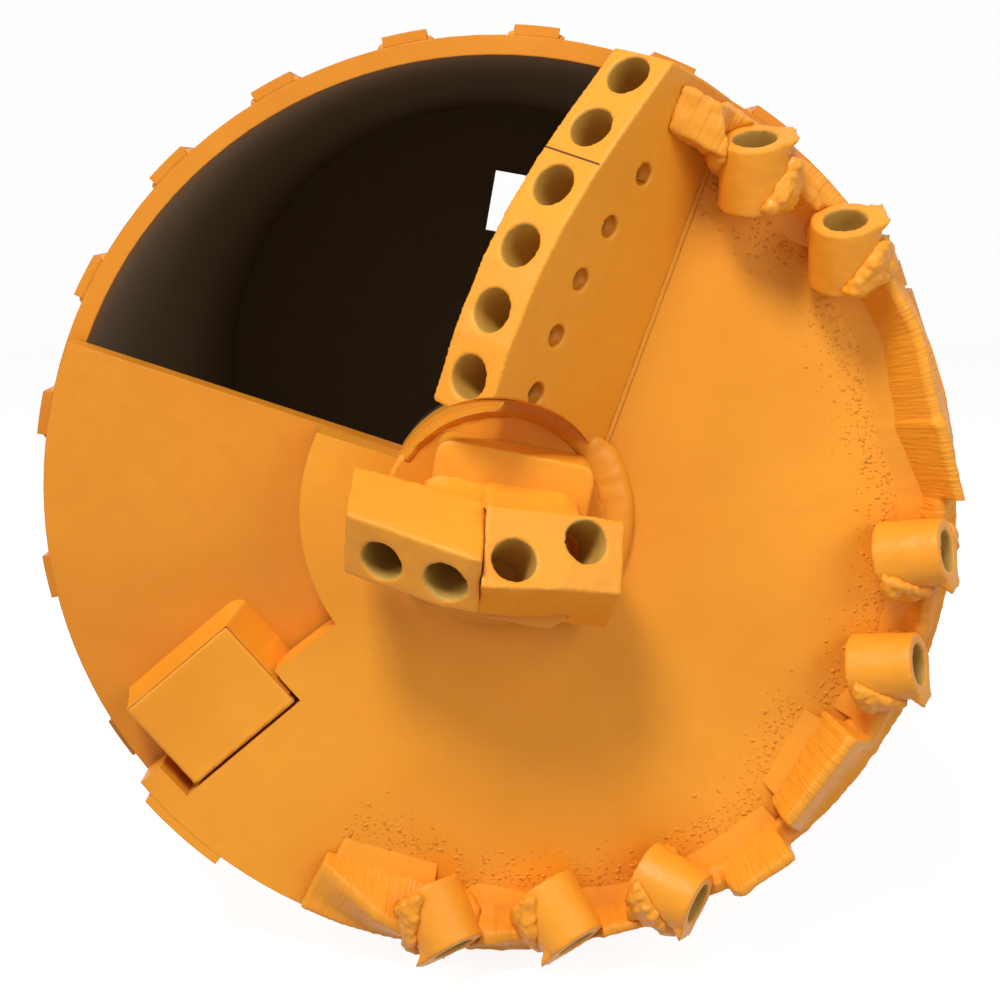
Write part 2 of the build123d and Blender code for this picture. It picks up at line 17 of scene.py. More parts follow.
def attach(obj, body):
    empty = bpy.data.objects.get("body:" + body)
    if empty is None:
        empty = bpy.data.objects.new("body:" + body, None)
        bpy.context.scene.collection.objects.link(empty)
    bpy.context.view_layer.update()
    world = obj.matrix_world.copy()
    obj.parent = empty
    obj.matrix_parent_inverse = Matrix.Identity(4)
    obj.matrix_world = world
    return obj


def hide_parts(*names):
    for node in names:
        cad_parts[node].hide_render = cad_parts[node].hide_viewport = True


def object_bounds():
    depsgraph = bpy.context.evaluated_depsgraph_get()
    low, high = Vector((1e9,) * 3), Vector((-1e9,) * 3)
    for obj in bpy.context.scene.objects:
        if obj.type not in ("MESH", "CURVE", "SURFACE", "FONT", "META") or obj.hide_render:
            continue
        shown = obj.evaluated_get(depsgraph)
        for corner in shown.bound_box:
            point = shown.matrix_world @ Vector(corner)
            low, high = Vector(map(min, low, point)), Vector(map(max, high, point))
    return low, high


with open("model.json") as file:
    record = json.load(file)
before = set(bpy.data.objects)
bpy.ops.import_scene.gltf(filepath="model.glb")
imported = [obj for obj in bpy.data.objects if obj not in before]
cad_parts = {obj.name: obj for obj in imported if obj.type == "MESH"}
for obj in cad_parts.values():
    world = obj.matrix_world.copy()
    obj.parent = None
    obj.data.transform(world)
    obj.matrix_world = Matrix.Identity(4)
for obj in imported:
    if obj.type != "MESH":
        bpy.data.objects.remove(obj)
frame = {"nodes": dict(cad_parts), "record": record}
cad_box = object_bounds()

# %% [markdown]
# A rock drilling bucket is a short steel drum that a drill rig turns on the end of a square bar.
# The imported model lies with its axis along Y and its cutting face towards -Y. The designer measured
# it from the lower edge of the drum, with one axis to the right, one up and one out of the face.
# It is easier to place welds with those three numbers in millimetres, so the first helper turns
# them into Blender's metres, and the second does the same from an angle and a radius.

# %% Places on the cutting face
FACE_Y = -1.330
MM = 0.001


def spot(right, up, out):
    """A point given in millimetres right, up and out of the face."""
    return Vector((right * MM, FACE_Y - out * MM, up * MM))


def polar_spot(radius, angle_deg, out):
    """A point given by its radius and angle about the bucket's axis."""
    angle = math.radians(angle_deg)
    return spot(radius * math.cos(angle), radius * math.sin(angle), out)


PLATE_OUT = 87.0
print("middle of the rotor plate:", spot(0, 0, PLATE_OUT)[:])

# %% [markdown]
# The photograph was taken with a moderately long lens, a little above the bucket's axis and
# tipped down by about eleven degrees. The numbers come from matching the edges of the drum,
# the row of pockets and the far window. A camera object needs a place, a turn and a lens.

# %% Camera
LENS_MM = 61.2
SENSOR_MM = 36.0
EYE_PLACE = (-0.013, -2.965, 0.308)
EYE_TILT = 79.3
EYE_TURN = -0.6


def into_scene(thing):
    """Links a new object into the scene, so that it is seen."""
    bpy.context.scene.collection.objects.link(thing)


eye = bpy.data.cameras.new("photo_eye")
eye.lens = LENS_MM
eye.sensor_width = SENSOR_MM
eye.clip_end = 60.0
camera = bpy.data.objects.new("photo_eye", eye)
camera.location = EYE_PLACE
camera.rotation_euler = (math.radians(EYE_TILT), 0.0, math.radians(EYE_TURN))
into_scene(camera)
bpy.context.scene.camera = camera
bpy.context.scene.view_settings.view_transform = "Standard"
print("camera lens", LENS_MM, "mm")

# %% [markdown]
# The studio is one pale sheet: a floor that curves up into a backdrop, so no corner shows behind
# the bucket. It is a strip of quads swept across the room. Rays that come straight from the camera
# see it nearly white, with the bucket's shadow kept. Every other ray sees plain grey paper, as the
# hall's floor was, so the faces that look down aren't lit up from below.

# %% Shader helpers
def put(tree, kind, settings=None, **inputs):
    """Adds a shader node, sets its options and fills or links its inputs, by name or as n0, n1."""
    made = tree.nodes.new("ShaderNode" + kind)
    for option, value in (settings or {}).items():
        setattr(made, option, value)
    for label, value in inputs.items():
        numbered = label[0] == "n" and label[1:].isdigit()
        key = int(label[1:]) if numbered else label.replace("_", " ")
        if isinstance(value, bpy.types.NodeSocket):
            tree.links.new(value, made.inputs[key])
        else:
            made.inputs[key].default_value = value
    return made


def new_finish(name):
    """A new material with an empty tree of nodes."""
    finish = bpy.data.materials.new(name)
    finish.use_nodes = True
    finish.node_tree.nodes.clear()
    return finish, finish.node_tree


# %% Floor and backdrop
ROOM_HALF = 9.0
ROOM_FRONT = -7.0
ROOM_BACK = 4.5
ROOM_HEIGHT = 7.0
SWEEP_RADIUS = 2.0
SWEEP_STEPS = 24
FLOOR_GAP = 0.0005


def shade_smooth(mesh):
    """Blends the light across all faces of a mesh."""
    mesh.polygons.foreach_set("use_smooth", [True] * len(mesh.polygons))


floor_level = cad_box[0].z - FLOOR_GAP
profile = [(ROOM_FRONT, floor_level)]
for step in range(SWEEP_STEPS + 1):
    turn = math.pi / 2 * step / SWEEP_STEPS
    profile.append((ROOM_BACK + SWEEP_RADIUS * math.sin(turn),
                    floor_level + SWEEP_RADIUS * (1 - math.cos(turn))))
profile.append((ROOM_BACK + SWEEP_RADIUS, floor_level + ROOM_HEIGHT))
sheet_points = []
for y, z in profile:
    sheet_points += [(-ROOM_HALF, y, z), (ROOM_HALF, y, z)]
sheet_faces = [(2 * i, 2 * i + 1, 2 * i + 3, 2 * i + 2) for i in range(len(profile) - 1)]
paper = bpy.data.meshes.new("studio_sweep")
paper.from_pydata(sheet_points, [], sheet_faces)
shade_smooth(paper)
sweep = bpy.data.objects.new("studio_sweep", paper)
into_scene(sweep)
print("floor at", round(floor_level, 4), "m")

# %% Paper of the studio
PAPER_GREY = (0.50, 0.50, 0.49, 1)
SHADOW_GREY = (0.30, 0.30, 0.30, 1)
PAPER_GLOW = 0.91
WHITE = (1, 1, 1, 1)


def seen_directly(tree):
    """1 for rays that show the thing to the camera, also by way of a gloss or a glass."""
    path = put(tree, "LightPath")
    first = put(tree, "Math", {"operation": "MAXIMUM"}, n0=path.outputs["Is Camera Ray"],
                n1=path.outputs["Is Glossy Ray"])
    return put(tree, "Math", {"operation": "MAXIMUM"}, n0=first.outputs[0],
               n1=path.outputs["Is Transmission Ray"]).outputs[0]


studio_paper, tree = new_finish("studio_paper")
plain = put(tree, "BsdfDiffuse", Color=PAPER_GREY)
shadow_part = put(tree, "BsdfDiffuse", Color=SHADOW_GREY)
glow_part = put(tree, "Emission", Color=WHITE, Strength=PAPER_GLOW)
shown = put(tree, "AddShader", n0=shadow_part.outputs[0], n1=glow_part.outputs[0])
both = put(tree, "MixShader", n0=seen_directly(tree), n1=plain.outputs[0], n2=shown.outputs[0])
put(tree, "OutputMaterial", Surface=both.outputs[0])
paper.materials.append(studio_paper)
print("studio paper:", len(tree.nodes), "nodes")

# %% [markdown]
# The light in the photograph comes from a hall's roof, in front of the face and well above it. The
# pilot's shadow falls down and a little to the right, and faces that look left are bright too, so
# there is more than one lamp. Three large square ones stand in for them, the highest the strongest.
# The rest is an even sky, which fills the shadows. The camera sees that sky as white. A weak warm
# lamp in the drum stands for the light that comes in by the far windows, so that the inside, which
# carries painted shade, reads as dark brown and not as a black hole.

# %% Lamps
LAMP_COLOUR = (1.0, 0.97, 0.92)
face_middle = spot(0, 0, 0)
# Each lamp: its name, its way from the face, metres away, watts and metres wide.
LAMPS = (("high_lamp", (-0.21, -0.56, 0.80), 4.0, 122.0, 1.0),
         ("left_lamp", (-0.78, -0.40, 0.48), 4.0, 34.0, 1.2),
         ("right_lamp", (0.62, -0.70, 0.36), 2.2, 15.0, 1.1))
for lamp_name, way, far, energy, wide in LAMPS:
    lamp_data = bpy.data.lights.new(lamp_name, "AREA")
    lamp_data.shape = "SQUARE"
    lamp_data.size = wide
    lamp_data.energy = energy
    lamp_data.color = LAMP_COLOUR
    lamp = bpy.data.objects.new(lamp_name, lamp_data)
    lamp.location = face_middle + Vector(way).normalized() * far
    lamp.rotation_euler = Vector(way).to_track_quat("Z", "Y").to_euler()
    into_scene(lamp)
    print(lamp_name, tuple(round(c, 2) for c in lamp.location))

# %% Lamp in the drum and sky
DRUM_MIDDLE = (0.0, -0.70, 0.0)
DRUM_WATTS = 0.30
DRUM_LIGHT = (1.0, 0.78, 0.52)
SKY_LEVEL = 0.165
drum_glow = bpy.data.lights.new("drum_lamp", "POINT")
drum_glow.energy = DRUM_WATTS
drum_glow.color = DRUM_LIGHT
drum_glow.shadow_soft_size = 0.12
drum_lamp = bpy.data.objects.new("drum_lamp", drum_glow)
drum_lamp.location = DRUM_MIDDLE
drum_lamp.visible_camera = False
into_scene(drum_lamp)

sky = bpy.data.worlds.new("even_sky")
sky.use_nodes = True
sky.node_tree.nodes.clear()
tree = sky.node_tree
level = put(tree, "Mix", {"data_type": "FLOAT"}, n0=seen_directly(tree), n2=SKY_LEVEL, n3=1.0)
light = put(tree, "Background", Color=WHITE, Strength=level.outputs[0])
put(tree, "OutputWorld", Surface=light.outputs[0])
bpy.context.scene.world = sky
print("sky level", SKY_LEVEL, "and lamps:", len(LAMPS) + 1)

# %% [markdown]
# The whole bucket is sprayed with satin orange-yellow paint. A real coat is never one colour:
# it is thin and pale on edges, a little cloudy over the plates, and it carries dust. On top of
# that, corners and crevices get painted shade: a dark brown where ambient occlusion finds steel
# close by. Each of those is one layer of nodes here. The places come from Object coordinates, so
# the layers stay where they are when a joint moves. The bump has three scales: the orange peel of
# the spray, the slow waves of rolled plate, and for torch-cut steel a set of fine ridges that run
# down the cut.

# %% Paint colours
FRESH = (0.880, 0.350, 0.024, 1)
THICK = (0.800, 0.300, 0.018, 1)
EDGE = (0.950, 0.410, 0.060, 1)
# Painted shade: the dark brown that corners and crevices are darkened with.
CORNER_SHADE = (0.330, 0.105, 0.010, 1)
DUST = (0.620, 0.380, 0.150, 1)


def colour_over(tree, below, above, share):
    """Lays one colour over another, with a share from 0 to 1."""
    mix = put(tree, "Mix", {"data_type": "RGBA"}, n0=share, n6=below, n7=above)
    return mix.outputs[2]


def ramp(tree, value, low, high, top=1.0):
    """Stretches a value between two limits to 0 and top."""
    spread = put(tree, "MapRange", {"clamp": True}, Value=value, n1=low, n2=high, n3=0.0, n4=top)
    return spread.outputs[0]


def speckle(tree, place, scale, detail=3.0):
    """Cloudy noise. A high scale gives fine grains and a low one broad clouds."""
    return put(tree, "TexNoise", Vector=place, Scale=scale, Detail=detail).outputs[0]


def math_step(tree, operation, first, second):
    """One step of arithmetic on two values."""
    return put(tree, "Math", {"operation": operation}, n0=first, n1=second).outputs[0]


def dot(tree, first, second):
    """How far a place or a direction goes along another direction."""
    product = put(tree, "VectorMath", {"operation": "DOT_PRODUCT"}, n0=first, n1=second)
    return product.outputs["Value"]


print("paint colours:", FRESH[:3], "to", THICK[:3])

# %% Colour of the coat
CLOUD_SCALE, MOTTLE_SCALE, FLECK_SCALE, PATCH_SCALE = 5.5, 46.0, 260.0, 70.0
CORNER_SHADE_REACH = 0.022
EDGE_ROUND = 0.0022
RAYS = {"samples": 2}


def coat_colour(tree, place, rounded, fresh, thick, wear, dust, corner_shade):
    """The layers of colour: clouds, dust, painted shade in corners and pale edges."""
    clouds = ramp(tree, speckle(tree, place, CLOUD_SCALE), 0.36, 0.68)
    mottle = ramp(tree, speckle(tree, place, MOTTLE_SCALE, 5.0), 0.45, 0.75, 0.45)
    colour = colour_over(tree, fresh, thick, math_step(tree, "MAXIMUM", clouds, mottle))
    flecks = ramp(tree, speckle(tree, place, FLECK_SCALE, 2.0), 0.66, 0.74, dust)
    colour = colour_over(tree, colour, DUST, flecks)
    # Painted shade: where ambient occlusion finds steel close by, the colour darkens to brown.
    nearby = put(tree, "AmbientOcclusion", RAYS, Distance=CORNER_SHADE_REACH).outputs["AO"]
    colour = colour_over(tree, colour, CORNER_SHADE, ramp(tree, nearby, 0.62, 0.10, corner_shade))
    agree = dot(tree, rounded, put(tree, "NewGeometry").outputs["Normal"])
    patchy = ramp(tree, speckle(tree, place, PATCH_SCALE), 0.35, 0.65)
    edge = math_step(tree, "MULTIPLY", ramp(tree, agree, 0.985, 0.86, wear), patchy)
    return colour_over(tree, colour, EDGE, edge)


# %% Paint finish
PEEL_SCALE, WAVE_SCALE, RIDGE_SCALE, DULL_SCALE = 640.0, 16.0, 330.0, 34.0
RIM_RADIUS = 0.41
RIDGE_STRETCH = 0.10
SATIN = 0.32


def torch_lines(tree, place):
    """Noise that is stretched along the cut, so that it reads as ridges."""
    parts = put(tree, "SeparateXYZ", Vector=place)
    angle = math_step(tree, "ARCTAN2", parts.outputs[2], parts.outputs[0])
    arc = math_step(tree, "MULTIPLY", angle, RIM_RADIUS)
    along = math_step(tree, "MULTIPLY", parts.outputs[1], RIDGE_STRETCH)
    lines = put(tree, "CombineXYZ", n0=arc, n1=along, n2=0.0)
    return speckle(tree, lines.outputs[0], RIDGE_SCALE, 3.0)


def paint_finish(name, fresh=FRESH, thick=THICK, torn=0.0, peel=1.0, wear=0.5, dust=0.25,
                 gloss=0.40, plate_waves=1.0, corner_shade=0.55):
    """Satin paint. torn adds the ridges of a torch cut, wear pales the edges."""
    finish, tree = new_finish(name)
    place = put(tree, "TexCoord").outputs["Object"]
    rounded = put(tree, "Bevel", RAYS, Radius=EDGE_ROUND).outputs[0]
    colour = coat_colour(tree, place, rounded, fresh, thick, wear, dust, corner_shade)
    grains = speckle(tree, place, PEEL_SCALE, 2.0)
    bumped = put(tree, "Bump", Strength=0.22 * peel, Distance=0.0006, Height=grains, Normal=rounded)
    waves = speckle(tree, place, WAVE_SCALE, 4.0)
    bumped = put(tree, "Bump", Strength=0.35 * plate_waves, Distance=0.004, Height=waves,
                 Normal=bumped.outputs[0])
    if torn:
        ridges = torch_lines(tree, place)
        bumped = put(tree, "Bump", Strength=0.9 * torn, Distance=0.003, Height=ridges,
                     Normal=bumped.outputs[0])
        colour = colour_over(tree, colour, THICK, ramp(tree, ridges, 0.58, 0.35, 0.5 * torn))
    dull = put(tree, "MapRange", Value=speckle(tree, place, DULL_SCALE), n1=0.3, n2=0.7,
               n3=gloss - 0.05, n4=gloss + 0.12)
    skin = put(tree, "BsdfPrincipled", Base_Color=colour, Roughness=dull.outputs[0],
               Normal=bumped.outputs[0], Specular_IOR_Level=SATIN)
    put(tree, "OutputMaterial", Surface=skin.outputs[0])
    return finish


# %% Paints of the bucket
# Painted shade: the door, the shell and the other plain plates get the rotor's orange made about 15%
# darker, standing in for dimmer light on them.
shaded_plate_paint = paint_finish("shaded_plate_paint", fresh=(0.745, 0.275, 0.019, 1),
                           thick=(0.665, 0.230, 0.014, 1))
rotor_paint = paint_finish("rotor_paint")
cast_paint = paint_finish("cast_paint", peel=1.3, wear=0.7)
torch_paint = paint_finish("torch_paint", torn=0.60, peel=1.3, wear=0.7, corner_shade=0.35)
bore_steel = paint_finish("bore_steel", fresh=(0.66, 0.39, 0.075, 1),
                          thick=(0.44, 0.26, 0.055, 1), wear=0.0, gloss=0.5)
weld_paint = paint_finish("weld_paint", peel=1.2, wear=0.5, gloss=0.34, plate_waves=0.3,
                          corner_shade=0.25)
row_paint = paint_finish("row_paint", wear=0.6)
spatter_paint = paint_finish("spatter_paint", peel=0.6, wear=0.2, dust=0.1, plate_waves=0.3,
                             corner_shade=0.0)
print("paints:", [m.name for m in bpy.data.materials if m.name.endswith("paint")])

# %% [markdown]
# The inside of the drum is painted as it looks in shade: the wall carries painted shade, a
# dark brown, and near the lip a patchy painted glow of the light that falls in, which fades within
# a hand's width. So the shell needs two finishes on one node. A mask picks the inner side: there
# the surface faces the bucket's axis.

# %% Inside of the drum
# Painted shade for the inside, and a painted glow of light near the lip.
INSIDE_SHADE = (0.300, 0.235, 0.165, 1)
LIP_GLOW = (0.420, 0.210, 0.060, 1)
LIP_FADE = 0.060
LIP_GLOW_SCALE = 22.0
INSIDE_ROUGH = 0.9


def inside_mask(tree, place, kind):
    """1 on the inner side of the wall, or of the end plate."""
    parts = put(tree, "SeparateXYZ", Vector=place)
    facing = put(tree, "SeparateXYZ", Vector=put(tree, "NewGeometry").outputs["True Normal"])
    if kind == "end":
        return ramp(tree, facing.outputs[1], -0.4, -0.6)
    level_place = put(tree, "CombineXYZ", n0=parts.outputs[0], n1=0.0, n2=parts.outputs[2])
    inward = put(tree, "VectorMath", {"operation": "NORMALIZE"}, n0=level_place.outputs[0])
    normal = put(tree, "CombineXYZ", n0=facing.outputs[0], n1=0.0, n2=facing.outputs[2])
    return ramp(tree, dot(tree, inward.outputs[0], normal.outputs[0]), -0.3, -0.6)


def skin_shader(tree):
    """The shader of a finish."""
    return next(n for n in tree.nodes if n.type == "BSDF_PRINCIPLED")


def recolour(tree, above, share):
    """Lays one more colour over those that a finish already has."""
    base = skin_shader(tree).inputs["Base Color"]
    tree.links.new(colour_over(tree, base.links[0].from_socket, above, share), base)


def shaded_inside(base, name, kind):
    """The paint outside; inside, painted shade and a painted glow of light near the lip."""
    finish = base.copy()
    finish.name = name
    tree = finish.node_tree
    place = put(tree, "TexCoord").outputs["Object"]
    mask = inside_mask(tree, place, kind)
    parts = put(tree, "SeparateXYZ", Vector=place)
    near_lip = ramp(tree, parts.outputs[1], FACE_Y + LIP_FADE, FACE_Y)
    share = math_step(tree, "MULTIPLY", near_lip, speckle(tree, place, LIP_GLOW_SCALE))
    recolour(tree, colour_over(tree, INSIDE_SHADE, LIP_GLOW, share), mask)
    dull = skin_shader(tree).inputs["Roughness"]
    rough = put(tree, "Mix", {"data_type": "FLOAT"}, n0=mask, n2=dull.links[0].from_socket,
                n3=INSIDE_ROUGH)
    tree.links.new(rough.outputs[0], dull)
    return finish


drum_paint = shaded_inside(shaded_plate_paint, "drum_paint", "wall")
end_paint = shaded_inside(shaded_plate_paint, "end_plate_paint", "end")
print("two-sided finishes:", drum_paint.name, end_paint.name)

# %% [markdown]
# The row is two bars set end to end. Their rear is ground smooth, but on the face with the
# pockets a thin dark line still shows where they meet. It is a colour mask: a slice less than two
# millimetres thick across the row, kept only where the surface looks the way the pockets look.

# %% Seam of the row
ROW_LINE = math.radians(70.4)
ROW_WAY = (math.cos(ROW_LINE), 0.0, math.sin(ROW_LINE))
SEAM_AT = 0.3295
SEAM_HALF = 0.0008
SEAM_DARK = (0.10, 0.030, 0.004, 1)
MOUTH_WAY = (-0.60, -0.76, 0.25)
tree = row_paint.node_tree
place = put(tree, "TexCoord").outputs["Object"]
past = math_step(tree, "SUBTRACT", dot(tree, place, ROW_WAY), SEAM_AT)
off = put(tree, "Math", {"operation": "ABSOLUTE"}, n0=past).outputs[0]
slice_mask = ramp(tree, off, SEAM_HALF * 1.6, SEAM_HALF * 0.7)
looks = dot(tree, put(tree, "NewGeometry").outputs["Normal"], MOUTH_WAY)
seam_mask = math_step(tree, "MULTIPLY", slice_mask, ramp(tree, looks, 0.70, 0.85))
recolour(tree, SEAM_DARK, seam_mask)
print("seam mask on", row_paint.name)

# %% [markdown]
# A few pieces carry no orange paint: the pins and the release rod are bare and worn bright by
# sliding, and the latch and the shaft's nut are dark and oily. One recipe serves both: a clean
# colour with stains over it, and long fine scratches along the bucket's axis.

# %% Dark and bare steel
STAIN_SCALE = 60.0
SCRATCH_SCALE = (900.0, 30.0, 900.0)


def bare_finish(name, clean, stained, rough, metal):
    """Steel without paint, stained and finely scratched."""
    finish, tree = new_finish(name)
    place = put(tree, "TexCoord").outputs["Object"]
    blotch = ramp(tree, speckle(tree, place, STAIN_SCALE, 6.0), 0.42, 0.62)
    colour = colour_over(tree, clean, stained, blotch)
    scratch_place = put(tree, "Mapping", {"vector_type": "POINT"}, Vector=place,
                        Scale=SCRATCH_SCALE)
    scratches = speckle(tree, scratch_place.outputs[0], 1.0, 2.0)
    bumped = put(tree, "Bump", Strength=0.25, Distance=0.0004, Height=scratches)
    dull = put(tree, "MapRange", Value=blotch, n1=0.0, n2=1.0, n3=rough, n4=rough + 0.3)
    skin = put(tree, "BsdfPrincipled", Base_Color=colour, Roughness=dull.outputs[0], Metallic=metal,
               Normal=bumped.outputs[0])
    put(tree, "OutputMaterial", Surface=skin.outputs[0])
    return finish


pin_steel = bare_finish("pin_steel", (0.45, 0.44, 0.42, 1), (0.16, 0.085, 0.045, 1), 0.32, 0.9)
dark_steel = bare_finish("dark_steel", (0.030, 0.026, 0.022, 1), (0.060, 0.030, 0.016, 1), 0.55,
                         0.3)
print("finishes:", len(bpy.data.materials))

# %% [markdown]
# Every imported node now gets its finish. Only the slots change: the meshes stay as they were
# designed.

# %% Finish of the imported nodes
FINISH_OF = {
    "rotor_plate": rotor_paint, "rotor_strip": rotor_paint, "hub_flange": rotor_paint,
    "shell_tube": drum_paint, "top_plate": end_paint, "rim_ring": torch_paint,
    "hinge_pin": pin_steel, "latch_pin": pin_steel, "release_rod": pin_steel,
    "latch_hook": dark_steel, "latch_bracket": dark_steel, "rod_guides": dark_steel,
    "door_catch": dark_steel, "shaft_nut": dark_steel, "rotor_shaft": dark_steel,
}
for node, thing in frame["nodes"].items():
    other = cast_paint if node.startswith(("rim_holder", "pilot")) else shaded_plate_paint
    finish = FINISH_OF.get(node, other)
    thing.data.materials.clear()
    thing.data.materials.append(finish)
print("painted nodes:", len(frame["nodes"]))

# %% [markdown]
# The blocks of the rim were cut from thick plate with a torch and keep its ridges. The row and
# the stop block were ground flat, and the tooth holders and the pilot are castings. All of them
# have soft edges, where designed solids have knife edges, so each of these nodes gets a dense
# copy: a voxel remesh lays an even skin of small quads over it, a few rounds of smoothing take
# the edges off, and the marks are then pushed into the skin, point by point. The copy replaces
# its node and rides with it. The bores of the pockets get a finish of their own.

# %% Lining of the pockets
pocket_mounts = {m["name"]: m for m in frame["record"]["mounts"]}
LINING_FROM = 0.0012
LINING_PAST = 0.003
BORE_MARGIN = 0.0022


def pocket_axis(name):
    """The middle of a pocket's mouth, and the way out of it."""
    mouth = pocket_mounts[name]
    return Vector(mouth["pos_m"]), Vector(mouth["axis"]).normalized()


def line_bores(mesh, names):
    """Gives the inside of some pockets the second finish of the piece."""
    mesh.materials.append(bore_steel)
    for name in names:
        top, way = pocket_axis(name)
        dims = pocket_mounts[name]["dims"]
        radius, depth = dims["r_mm"] * MM, dims["length_mm"] * MM
        for tile in mesh.polygons:
            off = tile.center - top
            deep = -off.dot(way)
            if not LINING_FROM < deep < depth + LINING_PAST:
                continue
            aside = off + way * deep
            floor = aside.length < radius - 0.002
            if aside.length < radius + BORE_MARGIN and (tile.normal.dot(aside) < 0 or floor):
                tile.material_index = 1


print("pockets:", sum("pocket" in name for name in pocket_mounts))

# %% Dense copies
SAME_POINT = 0.00002


def even_skin(piece, grain, rounds):
    """Lays an even skin of small quads over a piece and softens its edges."""
    skin = piece.modifiers.new("skin", "REMESH")
    skin.mode = "VOXEL"
    skin.voxel_size = grain
    skin.use_smooth_shade = True
    soften = piece.modifiers.new("soft_edges", "SMOOTH")
    soften.factor = 0.5
    soften.iterations = rounds
    depsgraph = bpy.context.evaluated_depsgraph_get()
    mesh = bpy.data.meshes.new_from_object(piece.evaluated_get(depsgraph))
    piece.modifiers.clear()
    piece.data = mesh
    return mesh


def push_skin(mesh, push, trim=None):
    """Moves each point along its normal, as far as push says for that place."""
    places = [v.co.copy() for v in mesh.vertices]
    normals = [v.normal.copy() for v in mesh.vertices]
    moved = [place + normal * push(place, normal) for place, normal in zip(places, normals)]
    if trim:
        moved = [trim(place) for place in moved]
    mesh.vertices.foreach_set("co", [number for place in moved for number in place])
    mesh.update()


def dense_copy(name, nodes, grain, rounds, finish, body, push, pockets=(), trim=None):
    """One copy of some nodes with an even skin, soft edges and its marks pushed in."""
    piece = bpy.data.objects.new(name, bpy.data.meshes.new(name))
    into_scene(piece)
    joined = bmesh.new()
    for node in nodes:
        joined.from_mesh(frame["nodes"][node].data)
    bmesh.ops.remove_doubles(joined, verts=joined.verts, dist=SAME_POINT)
    joined.to_mesh(piece.data)
    joined.free()
    mesh = even_skin(piece, grain, rounds)
    push_skin(mesh, push, trim)
    mesh.materials.clear()
    mesh.materials.append(finish)
    line_bores(mesh, pockets)
    shade_smooth(mesh)
    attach(piece, body)
    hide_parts(*nodes)
    return piece


# %% [markdown]
# The marks differ from block to block. Two parts of the rim are nearly smooth, two are torn, and
# the others show the torch's ridges. Castings have slow waves only, and ground plate has fainter
# ones. Two pieces are also fitted to their welds: the row's inner end is drawn back to leave room
# for a mound, and the stop block's side is made a little thicker.

# %% Marks of the torch
RIDGES_PER_M = 115.0
SMOOTH_BLOCKS = ((4.0, 30.0), (-117.0, -98.0))
TORN_BLOCKS = ((57.0, 69.5), (-97.0, -67.0))


def out_of_face(place):
    """Millimetres out of the face."""
    return (FACE_Y - place.y) / MM


def rim_angle(place):
    """Degrees about the bucket's axis."""
    return math.degrees(math.atan2(place.z, place.x))


def within(angle, spans):
    """Whether an angle lies in one of some spans."""
    return any(low <= angle <= high for low, high in spans)


def torch_push(place, normal):
    """Ridges down the cut and shallow lumps, strongest where the plate was torn."""
    angle = rim_angle(place)
    arc = math.radians(angle) * RIM_RADIUS
    radius = math.hypot(place.x, place.z)
    ridge = noise.noise((arc * RIDGES_PER_M, radius * 9.0, place.y * 9.0))
    lump = noise.fractal(place * 55.0, 1.0, 2.0, 3)
    if within(angle, SMOOTH_BLOCKS):
        return 0.0003 * ridge + 0.0005 * lump
    if within(angle, TORN_BLOCKS):
        return 0.0016 * ridge + 0.0018 * lump
    return 0.0013 * ridge + 0.0009 * lump


def cast_push(place, normal):
    """The slight waves of a ground casting."""
    return 0.0006 * noise.fractal(place * 48.0, 1.0, 2.0, 3)


def plate_push(place, normal):
    """The fainter waves of ground plate."""
    return 0.00025 * noise.fractal(place * 40.0, 1.0, 2.0, 2)


print("smooth blocks:", SMOOTH_BLOCKS, "torn blocks:", TORN_BLOCKS)

# %% Row's end and stop's side
FLANGE_TOP = PLATE_OUT + 14.0
ROW_END = 109.0
END_LEAN = 0.16
END_FROM = 96.0


def row_trim(place):
    """Draws the row's inner end back from the hub, to leave room for the mound of weld."""
    out, radius = out_of_face(place), math.hypot(place.x, place.z) / MM
    limit = ROW_END + END_LEAN * (out - FLANGE_TOP)
    if out > END_FROM and radius < limit:
        return Vector((place.x * limit / radius, place.y, place.z * limit / radius))
    return place


STOP_ANGLE = 220.4
STOP_SIDE = math.radians(STOP_ANGLE + 90.0)
STOP_SHIM = 0.0032


def stop_push(place, normal):
    """Waves, and on the side against the rotor the weld metal that narrows the gap."""
    facing = normal.x * math.cos(STOP_SIDE) + normal.z * math.sin(STOP_SIDE)
    return plate_push(place, normal) + STOP_SHIM * max(0.0, min(1.0, 2.0 * facing - 0.6))


print("row drawn back to", ROW_END, "mm, stop's side", STOP_SHIM / MM, "mm thicker")

# %% Skins of the cut and cast pieces
FINE, COARSE = 0.0020, 0.0025
HOLDERS = range(1, 8)
ring = dense_copy("ring_steel", ["rim_ring"], COARSE, 3, torch_paint, "rotor", torch_push)
holders = [dense_copy(f"holder_{n}_steel", [f"rim_holder_{n}"], FINE, 4, cast_paint, "rotor",
                      cast_push, [f"rim_pocket_{n}"]) for n in HOLDERS]
PILOT_POCKETS = {"pilot_shank": (), "pilot_wing_right": ("pilot_pocket_1", "pilot_pocket_2"),
                 "pilot_wing_left": ("pilot_pocket_3", "pilot_pocket_4")}
PILOT_ROUNDS = {"pilot_shank": 3, "pilot_wing_right": 5, "pilot_wing_left": 9}
pilot = [dense_copy(n + "_steel", [n], FINE, PILOT_ROUNDS[n], cast_paint, "rotor", cast_push,
                    names) for n, names in PILOT_POCKETS.items()]
row = dense_copy("row_steel", ["row_outer_bar", "row_inner_bar"], FINE, 2, row_paint, "rotor",
                 plate_push, [f"row_pocket_{n}" for n in range(1, 7)], row_trim)
stop = dense_copy("stop_steel", ["stop_block"], COARSE, 1, rotor_paint, "door", stop_push)
for piece in [ring, *holders, *pilot, row, stop]:
    print(piece.name, len(piece.data.polygons), "quads")

# %% [markdown]
# Welds hold all of it together. A weld is a row of overlapping ripples, about as wide as it is
# proud, and no two ripples match. Each run is made as a tube along a path: rings of points, whose
# radius swells with every ripple and wanders a little. Half of the tube sinks into the steel.
# The paths come from the design's own lines, or from rays that look for the seam.

